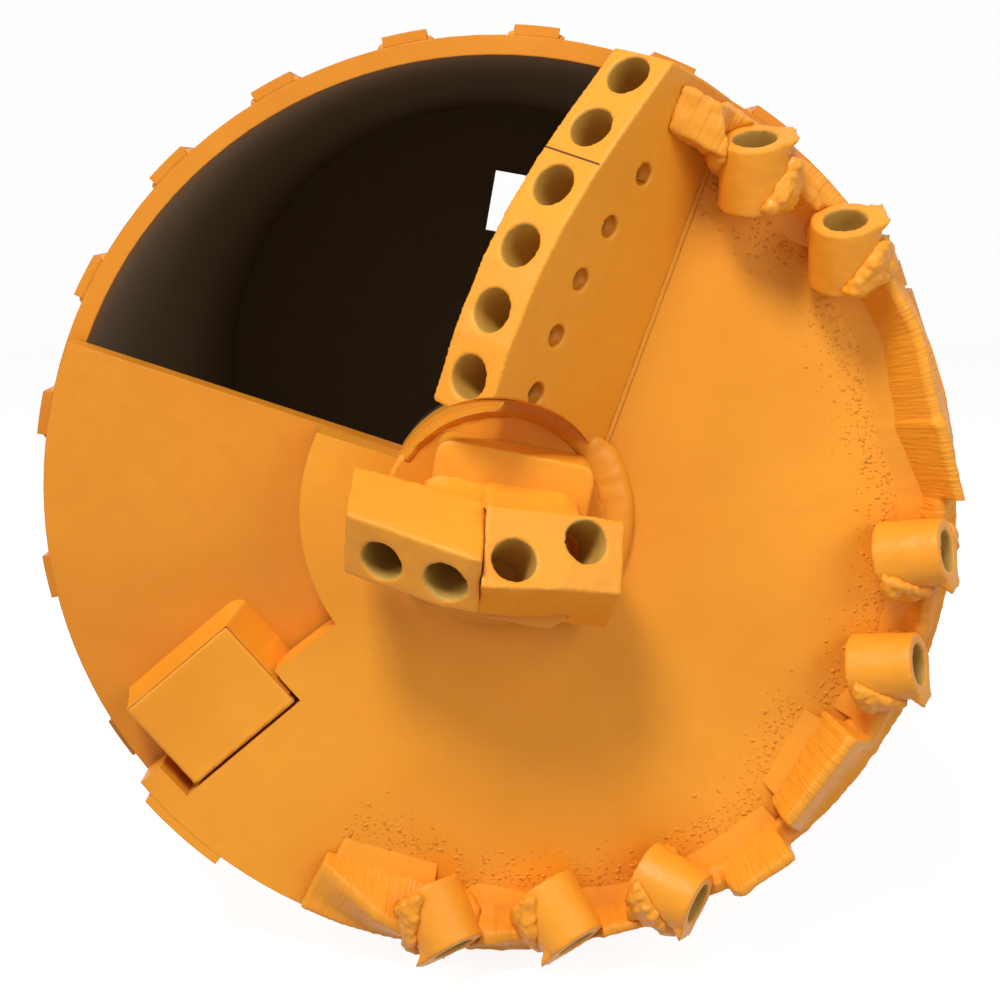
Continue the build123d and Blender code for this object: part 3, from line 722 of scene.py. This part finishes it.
# %% Even steps along a path
def resample(points, step, closed=False):
    """The same path with points an even step apart."""
    line = [Vector(p) for p in points]
    if closed:
        line.append(line[0].copy())
    lengths = [0.0]
    for a, b in zip(line, line[1:]):
        lengths.append(lengths[-1] + (b - a).length)
    count = max(2, int(lengths[-1] / step))
    result, leg = [], 0
    for i in range(count if closed else count + 1):
        want = lengths[-1] * i / count
        while leg < len(line) - 2 and lengths[leg + 1] < want:
            leg += 1
        share = (want - lengths[leg]) / max(1e-9, lengths[leg + 1] - lengths[leg])
        result.append(line[leg].lerp(line[leg + 1], min(1.0, share)))
    return result


# %% Rippled run
RING_POINTS = 9
POINT_STEP = 0.42
RIPPLE_PITCH = 0.85


def weld_tube(points, radius, rng, closed=False, ripple=0.10, wander=0.22):
    """Points and faces of one rippled run."""
    line = resample(points, radius * POINT_STEP, closed)
    pitch = radius * RIPPLE_PITCH
    turn_at = rng.uniform(0, 100)
    rings, faces = [], []
    side = None
    for i, middle in enumerate(line):
        ahead = line[(i + 1) % len(line)] if closed or i + 1 < len(line) else middle
        behind = line[i - 1] if closed or i else middle
        way = (ahead - behind).normalized()
        side = way.orthogonal() if side is None else side - way * side.dot(way)
        side.normalize()
        other = way.cross(side)
        travel = i * radius * POINT_STEP
        end_share = 1.0 if closed else min(1.0, (min(i, len(line) - 1 - i) + 0.6) / 3.0)
        wobble = noise.noise((travel * 55.0 + turn_at, 3.1, 0.0))
        for j in range(RING_POINTS):
            angle = 2 * math.pi * j / RING_POINTS
            wave = math.sin(2 * math.pi * travel / pitch + 1.3 * math.sin(angle * 2))
            own = noise.noise((travel * 140.0 + turn_at, math.cos(angle), math.sin(angle)))
            reach = radius * end_share * (1 + ripple * wave + wander * wobble + 0.16 * own)
            rings.append(middle + (side * math.cos(angle) + other * math.sin(angle)) * reach)
    turns = len(line)
    for i in range(turns if closed else turns - 1):
        for j in range(RING_POINTS):
            a, b = i * RING_POINTS, ((i + 1) % turns) * RING_POINTS
            k = (j + 1) % RING_POINTS
            faces.append((a + j, a + k, b + k, b + j))
    if not closed:
        faces.append(tuple(reversed(range(RING_POINTS))))
        faces.append(tuple(range((turns - 1) * RING_POINTS, turns * RING_POINTS)))
    return rings, faces


# %% Piece from points and faces
SHARP_TURN = math.radians(60.0)


def mesh_piece(name, points, faces, body):
    """A painted piece from its points and faces, riding on a body."""
    mesh = bpy.data.meshes.new(name)
    mesh.from_pydata([tuple(p) for p in points], [], faces)
    shade_smooth(mesh)
    mesh.materials.append(weld_paint)
    tidy = bmesh.new()
    tidy.from_mesh(mesh)
    bmesh.ops.recalc_face_normals(tidy, faces=tidy.faces)
    tidy.to_mesh(mesh)
    tidy.free()
    mesh.set_sharp_from_angle(angle=SHARP_TURN)
    piece = bpy.data.objects.new(name, mesh)
    into_scene(piece)
    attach(piece, body)
    print(name, len(faces), "faces on", body)
    return piece


def weld_piece(name, runs, radius, body, seed, closed=False, **looks):
    """One piece of steel from one or more runs, painted over like the rest."""
    rng = random.Random(seed)
    points, faces = [], []
    for run in runs:
        more, tiles = weld_tube(run, radius, rng, closed, **looks)
        faces += [tuple(v + len(points) for v in tile) for tile in tiles]
        points += more
    return mesh_piece(name, points, faces, body)


# %% Flat-faced fillet
FILLET_SHARES = (0.0, 0.25, 0.5, 0.75, 1.0)
CALM_ENDS = 0.35


def band_faces(sections, points_each, base=0):
    """The quads between some sections, and a cap on each end."""
    faces = []
    for i in range(sections - 1):
        for j in range(points_each):
            k = (j + 1) % points_each
            a, b = base + i * points_each, base + (i + 1) * points_each
            faces.append((a + j, a + k, b + k, b + j))
    faces.append(tuple(base + j for j in reversed(range(points_each))))
    faces.append(tuple(base + (sections - 1) * points_each + j for j in range(points_each)))
    return faces


def fillet_piece(name, runs, body, seed, rough=0.0012, bulge=0.0012):
    """A flat-faced weld. Each section is a toe on the plate, a crown on the wall and a root."""
    shift = Vector((random.Random(seed).uniform(0, 100), 0, 0))
    points, faces = [], []
    for run in runs:
        faces += band_faces(len(run), len(FILLET_SHARES) + 1, len(points))
        for toe, crown, root in run:
            face_way = ((toe + crown) / 2 - root).normalized()
            for share in FILLET_SHARES:
                middle = toe.lerp(crown, share)
                calm = CALM_ENDS if share in (0.0, 1.0) else 1.0
                own = noise.fractal(middle * 130.0 + shift, 1.0, 2.0, 3)
                lift = bulge * math.sin(math.pi * share) + rough * own * calm
                points.append(middle + face_way * lift)
            points.append(root)
    return mesh_piece(name, points, faces, body)


def circle(radius, out, start=0.0, end=360.0, step=3.0):
    """Points along a circle about the bucket's axis, or along a part of it."""
    count = max(2, int(abs(end - start) / step))
    last = count + (end - start < 360)
    return [polar_spot(radius, start + (end - start) * i / count, out) for i in range(last)]


# %% [markdown]
# The stop block sits on the door and takes the push of the rotor plate. A broad fillet runs along
# its outer long side and round its inner end; the side against the rotor has no weld, so the
# thin gap there stays open.

# %% Welds of the stop block
STOP_TURN = math.radians(STOP_ANGLE)
DOOR_TOP = 36.0


def stop_spot(along, across, out):
    """A point along the stop block's length and across it."""
    return spot(along * math.cos(STOP_TURN) - across * math.sin(STOP_TURN),
                along * math.sin(STOP_TURN) + across * math.cos(STOP_TURN), out)


STOP_TOP = 84.5
LONG_LEG = 11.0
END_LEG = 18.0
STOP_INNER, STOP_OUTER, STOP_BACK, STOP_FRONT = 262.0, 389.0, -84.5, 4.0
# Each place of the path: along, across, and the fillet's leg in both directions.
stop_path = [(STOP_OUTER - (STOP_OUTER - STOP_INNER) * n / 30, STOP_BACK, 0.0, -LONG_LEG)
             for n in range(30)]
for n in range(9):
    turn = math.pi / 2 * n / 8
    stop_path.append((STOP_INNER, STOP_BACK, -END_LEG * math.sin(turn),
                      -LONG_LEG * math.cos(turn)))
stop_path += [(STOP_INNER, STOP_BACK + (STOP_FRONT - STOP_BACK) * n / 24, -END_LEG, 0.0)
              for n in range(1, 25)]
stop_sections = [(stop_spot(x + dx, y + dy, DOOR_TOP - 0.8),
                  stop_spot(x + 0.02 * dx, y + 0.02 * dy, STOP_TOP),
                  stop_spot(x - 0.2 * dx, y - 0.2 * dy, DOOR_TOP - 2))
                 for x, y, dx, dy in stop_path]
fillet_piece("stop_block_fillet", [stop_sections], "door", 11, rough=0.0014, bulge=-0.0010)

# %% [markdown]
# On the rotor, two short runs show at the foot of the hub's flange, where nothing else covers it,
# and long runs follow the foot of the row on both its sides. The one behind the row was ground
# almost away, so it is a very thin fillet. The one in front is a plain rippled run.

# %% Welds of the hub and the row
ROW_REAR = -72.0
ROW_FRONT = 12.8
COLLAR_RADIUS = 101.0
COLLAR_ARCS = ((-62.0, -34.0), (144.0, 222.0))


def row_spot(along, aside, out):
    """A point along the row's line and ahead of it."""
    return spot(along * math.cos(ROW_LINE) - aside * math.sin(ROW_LINE),
                along * math.sin(ROW_LINE) + aside * math.cos(ROW_LINE), out)


collar_runs = [circle(COLLAR_RADIUS, PLATE_OUT + 1, start, end) for start, end in COLLAR_ARCS]
weld_piece("hub_collar_weld", collar_runs, 0.0060, "rotor", 21)
rear_sections = []
for step in range(106):
    along = 98.0 + 3.0 * step
    rear_sections.append((row_spot(along, ROW_REAR - 3, PLATE_OUT + 0.2),
                          row_spot(along, ROW_REAR + 2, PLATE_OUT + 3),
                          row_spot(along, ROW_REAR + 4, PLATE_OUT - 2)))
fillet_piece("row_rear_weld", [rear_sections], "rotor", 22, rough=0.0006, bulge=0.0004)
front_run = [row_spot(along, ROW_FRONT + 2, PLATE_OUT + 1) for along in (100, 426)]
weld_piece("row_front_weld", [front_run], 0.0070, "rotor", 23)

# %% [markdown]
# Where the row's inner end meets the hub, the welder built up a broad mound, from the flange's
# edge in under the row's end. It is a band bent round the hub: one section for each small angle,
# a little higher in its middle, with lumps from noise. Beside the row it slopes down to the
# plate, and on the far side it stops at the edge of the hub. A subdivision modifier rounds it.

# %% One section of the mound
MOUND_ANGLES = [-36.0 + 1.5 * step for step in range(123)]
MOUND_RADIUS, MOUND_OUT = 119.0, 104.0
HUB_EDGE_BACK = 13.8
SLOPE_WIDER, SLOPE_DROP = 10.0, 17.0
MOUND_HIGH = 5.5
HUB_SIDE_FROM, HUB_SIDE_SPAN = 84.0, 8.0
PLATE_SIDE_TO, PLATE_SIDE_SPAN = 44.0, 14.0
MOUND_POINTS = 7
MOUND_LUMPS = 0.0018


def share_past(value, start, span):
    """0 up to the start, 1 once the span is passed, and even between."""
    return min(1.0, max(0.0, (value - start) / span))


def mound_section(angle):
    """Radius and height of the mound's points at one angle, from the hub outward."""
    hub_side = share_past(angle, HUB_SIDE_FROM, HUB_SIDE_SPAN)
    plate_side = share_past(-angle, -PLATE_SIDE_TO, PLATE_SIDE_SPAN)
    edge = MOUND_RADIUS - HUB_EDGE_BACK * hub_side + SLOPE_WIDER * plate_side
    edge_out = MOUND_OUT - SLOPE_DROP * max(hub_side, plate_side)
    end_near = min(angle - MOUND_ANGLES[0], MOUND_ANGLES[-1] - angle)
    fade = min(1.0, 0.25 + end_near / 14.0) * (1.0 - 0.85 * plate_side)
    high = FLANGE_TOP + MOUND_HIGH * fade
    return [(93.0, FLANGE_TOP - 1.5), (96.0, FLANGE_TOP + 1.0 * fade),
            (99.5, FLANGE_TOP + 3.6 * fade), (0.5 * (99.5 + edge), high),
            (edge - 4.0, 0.5 * (high + max(edge_out, 92.0))), (edge, edge_out), (edge - 5.0, 85.0)]


print("mound's section in the middle:", mound_section(MOUND_ANGLES[61]))

# %% Mound between the hub and the row
mound_points = []
for angle in MOUND_ANGLES:
    for number, (radius, out) in enumerate(mound_section(angle)):
        middle = polar_spot(radius, angle, out)
        if 0 < number < MOUND_POINTS - 2:
            lump = noise.fractal(middle * 70.0, 1.0, 2.0, 3)
            middle += Vector((0, -MOUND_LUMPS * lump, 0))
        mound_points.append(middle)
mound_faces = band_faces(len(MOUND_ANGLES), MOUND_POINTS)
mound = mesh_piece("hub_mound", mound_points, mound_faces, "rotor")
rounder = mound.modifiers.new("rounder", "SUBSURF")
rounder.levels = rounder.render_levels = 2

# %% [markdown]
# The pilot's two wings were set on the shank, and the corner behind them was filled with weld up to
# their rear edge, flush and smooth. Rays straight into the face find that edge: at each place along
# the wings they step down over the shank until they meet something far above it. The fill then
# leans from the shank's face to the edge.

# %% Rear edge of the wings
def skin_tree(*pieces):
    """One search tree over the skins of several pieces."""
    points, faces = [], []
    for piece in pieces:
        base = len(points)
        points += [v.co.copy() for v in piece.data.vertices]
        faces += [tuple(base + v for v in p.vertices) for p in piece.data.polygons]
    return BVHTree.FromPolygons(points, faces)


SHANK_TOP = FLANGE_TOP + 62.0
WING_OVER = 20
wing_tree = skin_tree(*pilot[1:])
INTO_FACE = Vector((0, 1, 0))
edges = []
for right in range(-64, 72, 3):
    for up in range(80, -60, -1):
        hit = wing_tree.ray_cast(spot(right, up, 300), INTO_FACE, 0.150)[0]
        if hit is not None and out_of_face(hit) > SHANK_TOP + WING_OVER:
            edges.append((right, up - 2.0, out_of_face(hit) - 1.5))
            break
print("rear edge of the wings:", [tuple(round(c) for c in edge) for edge in edges[::9]])

# %% Fill behind the wings
FILL_LEG = 13.0
fill = []
for number, (right, up, out) in enumerate(edges):
    near = edges[max(0, number - 1):number + 2]
    up = sum(e[1] for e in near) / len(near)
    leg = FILL_LEG * min(1.0, (number + 0.5) / 5, (len(edges) - number - 0.5) / 5) ** 0.5
    fill.append((spot(right, up + leg, SHANK_TOP - 1), spot(right, up, out),
                 spot(right, up - 8, SHANK_TOP - 6)))
fillet_piece("pilot_fill_weld", [fill], "rotor", 26, rough=0.0010, bulge=-0.0030)

# %% [markdown]
# Along the rim, the seam between the ring and the plate is found with rays: from a little way in,
# a ray runs outward just above the plate until it meets the ring, and that point is the seam. The
# same is done round each holder, with rays that slide down its side until they meet the rim.

# %% Runs found with rays
def split_runs(hits, widest_gap, fewest):
    """Cuts a row of hits into runs, at each miss and each jump, and drops the short ones."""
    runs, run = [], []
    for hit in [*hits, None]:
        if run and (hit is None or (hit - run[-1]).length > widest_gap):
            if len(run) > fewest:
                runs.append(run)
            run = []
        if hit is not None:
            run.append(hit)
    return runs


def straightened(run, reach=7):
    """The same run with each point at the mean place of its neighbours."""
    last = len(run) - 1
    return [sum((run[max(0, min(last, i + j))] for j in range(-reach, reach + 1)), Vector())
            / (2 * reach + 1) for i in range(len(run))]


RAY_OUT = PLATE_OUT + 3.5
RAY_FROM, RAY_TO, RAY_LONG = 325.0, 425.0, 0.098
RIM_START, RIM_STEP = -116.0, 0.5
ring_tree = skin_tree(ring)
ring_hits = []
for step in range(371):
    angle = RIM_START + step * RIM_STEP
    start = polar_spot(RAY_FROM, angle, RAY_OUT)
    way = (polar_spot(RAY_TO, angle, RAY_OUT) - start).normalized()
    ring_hits.append(ring_tree.ray_cast(start, way, RAY_LONG)[0])
foot_runs = [straightened(run) for run in split_runs(ring_hits, 0.016, 4)]
print("foot runs:", [len(run) for run in foot_runs])

# %% Seam of the ring
FOOT_TOE = 0.019
FOOT_CROWN = 0.012
FOOT_ROOT = 0.014
FOOT_RISE = Vector((0, -0.0105, 0))
TOE_OUT = PLATE_OUT - 0.9


def toward_axis(place):
    """The way from a place straight to the bucket's axis."""
    return Vector((-place.x, 0, -place.z)).normalized()


foot_sections = []
for run in foot_runs:
    sections = []
    for place in run:
        inward = toward_axis(place)
        level = Vector((place.x, FACE_Y - TOE_OUT * MM, place.z))
        sections.append((level + inward * FOOT_TOE, level + FOOT_RISE - inward * FOOT_CROWN,
                         level - inward * FOOT_ROOT - FOOT_RISE * 0.3))
    foot_sections.append(sections)
fillet_piece("ring_foot_weld", foot_sections, "rotor", 31, rough=0.0013, bulge=0.0006)

# %% Seams of the holders
under_tree = skin_tree(ring, frame["nodes"]["rotor_plate"], row)
HOLDER_MOUTH = 0.030
HOLDER_ROOT = 0.034
HOLDER_LONG = 0.061
SKIN_OFF = 0.0015
root_runs = []
for number in HOLDERS:
    top, way = pocket_axis(f"rim_pocket_{number}")
    across = way.orthogonal().normalized()
    other = way.cross(across)
    hits = []
    for step in range(61):
        turn = 2 * math.pi * step / 60
        aside = across * math.cos(turn) + other * math.sin(turn)
        begin = top - way * 0.006 + aside * (HOLDER_MOUTH + SKIN_OFF)
        end = top - way * HOLDER_LONG + aside * (HOLDER_ROOT + SKIN_OFF)
        slide = (end - begin).normalized()
        hits.append(under_tree.ray_cast(begin, slide, HOLDER_LONG - 0.004)[0])
    root_runs += split_runs(hits, 0.014, 3)
weld_piece("holder_root_welds", root_runs, 0.0120, "rotor", 32, wander=0.50, ripple=0.09)

# %% [markdown]
# Each holder also leans on a crescent of weld, built up in layers on the side that trails when the
# bucket turns. It is the roughest weld on the tool. Each layer is an arc round the holder, wider
# than the one above it, with a wandering radius. A voxel skin then melts the layers together, and
# fine lumps are pushed into it.

# %% Crescents of the holders
# Each layer: how deep below the mouth, in millimetres, and half of its arc in degrees.
CRESCENT_LAYERS = ((24.0, 26.0), (31.0, 44.0), (38.0, 56.0), (45.0, 66.0), (52.0, 76.0))
CRESCENT_GRAIN = 0.0018


def crescent_push(place, normal):
    """Fine lumps of rough weld metal."""
    return 0.0016 * noise.fractal(place * 150.0, 1.0, 2.0, 3)


crescents = []
for number in HOLDERS:
    top, way = pocket_axis(f"rim_pocket_{number}")
    angle = math.radians(rim_angle(top))
    trailing = Vector((math.sin(angle), 0, -math.cos(angle)))
    trailing = (trailing - way * trailing.dot(way)).normalized()
    across = way.cross(trailing)
    for deep, half_arc in CRESCENT_LAYERS:
        radius = (HOLDER_MOUTH + (HOLDER_ROOT - HOLDER_MOUTH) * deep * MM / HOLDER_LONG) + 0.001
        arc = [math.radians(half_arc * (n / 6 - 1)) for n in range(13)]
        crescents.append([top - way * deep * MM
                          + (trailing * math.cos(turn) + across * math.sin(turn)) * radius
                          for turn in arc])
crescent_weld = weld_piece("holder_crescents", crescents, 0.0066, "rotor", 33, wander=0.85,
                           ripple=0.12)
melted = even_skin(crescent_weld, CRESCENT_GRAIN, 3)
push_skin(melted, crescent_push)
shade_smooth(melted)
print(crescent_weld.name, "melted to", len(melted.polygons), "quads")

# %% [markdown]
# Spatter is the small change of welding: beads of steel that jump out and stick, thickest close
# to the seam. Each is a low dome, pressed into the plate, and most are two or three millimetres
# across.

# %% Beads of spatter
BEAD_LEAST, BEAD_MOST = 0.0009, 0.0028
BEAD_FLAT = 0.6


def spatter_piece(name, places, body, seed):
    """One bead on each place, all in one mesh."""
    rng = random.Random(seed)
    ball = bmesh.new()
    for place in places:
        size_now = BEAD_LEAST + (BEAD_MOST - BEAD_LEAST) * rng.random() ** 2.5
        grown = bmesh.ops.create_icosphere(ball, subdivisions=1, radius=size_now)["verts"]
        for vertex in grown:
            vertex.co *= 1 + rng.uniform(-0.18, 0.18)
            vertex.co.y *= BEAD_FLAT
            vertex.co += place + Vector((0, size_now * 0.25, 0))
    mesh = bpy.data.meshes.new(name)
    ball.to_mesh(mesh)
    ball.free()
    shade_smooth(mesh)
    mesh.materials.append(spatter_paint)
    piece = bpy.data.objects.new(name, mesh)
    into_scene(piece)
    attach(piece, body)
    print(name, len(mesh.polygons), "faces")
    return piece


# %% Spatter along the rim
SPREAD = 0.017
AWAY = 0.004
rng = random.Random(5)
drops = []
for run in foot_runs:
    for place in run:
        for _ in range(4):
            spread = abs(rng.gauss(0, SPREAD))
            start = place + toward_axis(place) * (spread + FOOT_TOE)
            start += Vector((rng.uniform(-AWAY, AWAY), -0.08, rng.uniform(-AWAY, AWAY)))
            hit = under_tree.ray_cast(start, INTO_FACE, 0.12)[0]
            if hit is not None:
                drops.append(hit)
spatter_piece("rim_spatter", drops, "rotor", 6)

# %% [markdown]
# On the shell, every wear strip is held by a run along each long side, and the top plate by one
# run all the way round. The socket's walls and ribs have heavier runs, because they carry the
# whole pull of the drill.

# %% Welds of the shell
STRIP_ANGLES = (85, 101, 118, 134, 151, 169, 190, 213, 231, 248, 262, 278, 298, 320, 336, 352, 4.5,
                54, 68)
STRIP_HALF = 2.7
LOWER_STRIP, UPPER_STRIP = (-190.0, -5.0), (-1163.0, -1047.0)
SHELL_RADIUS = 440.0
TOP_OUT = -1200.0
strip_runs = []
for angle in STRIP_ANGLES:
    for side in (-1, 1):
        for low, high in (LOWER_STRIP, UPPER_STRIP):
            edge = angle + side * (STRIP_HALF + 0.15)
            strip_runs.append([polar_spot(SHELL_RADIUS + 0.5, edge, out) for out in (low, high)])
weld_piece("strip_welds", strip_runs, 0.0046, "shell", 41, ripple=0.08)
weld_piece("top_seam", [circle(SHELL_RADIUS - 1.0, -1175.0)[:-1]], 0.0055, "shell", 42, closed=True)
SOCKET_HALF = 145.0
corners = [(x * SOCKET_HALF, y * SOCKET_HALF) for x, y in ((-1, -1), (1, -1), (1, 1), (-1, 1))]
weld_piece("socket_weld", [[spot(x, y, TOP_OUT - 1) for x, y in corners]], 0.0085, "shell", 43,
           closed=True)
rib_runs = []
RIB_HALF = 10.0
RIB_ENDS = (205.0, 414.0)
for quarter in range(4):
    turn = math.radians(45.0 + 90.0 * quarter)
    for side in (-1, 1):
        shift = side * (RIB_HALF + 1.0)
        rib_runs.append([spot(r * math.cos(turn) - shift * math.sin(turn),
                              r * math.sin(turn) + shift * math.cos(turn), TOP_OUT - 1)
                         for r in RIB_ENDS])
weld_piece("rib_welds", rib_runs, 0.0070, "shell", 44)
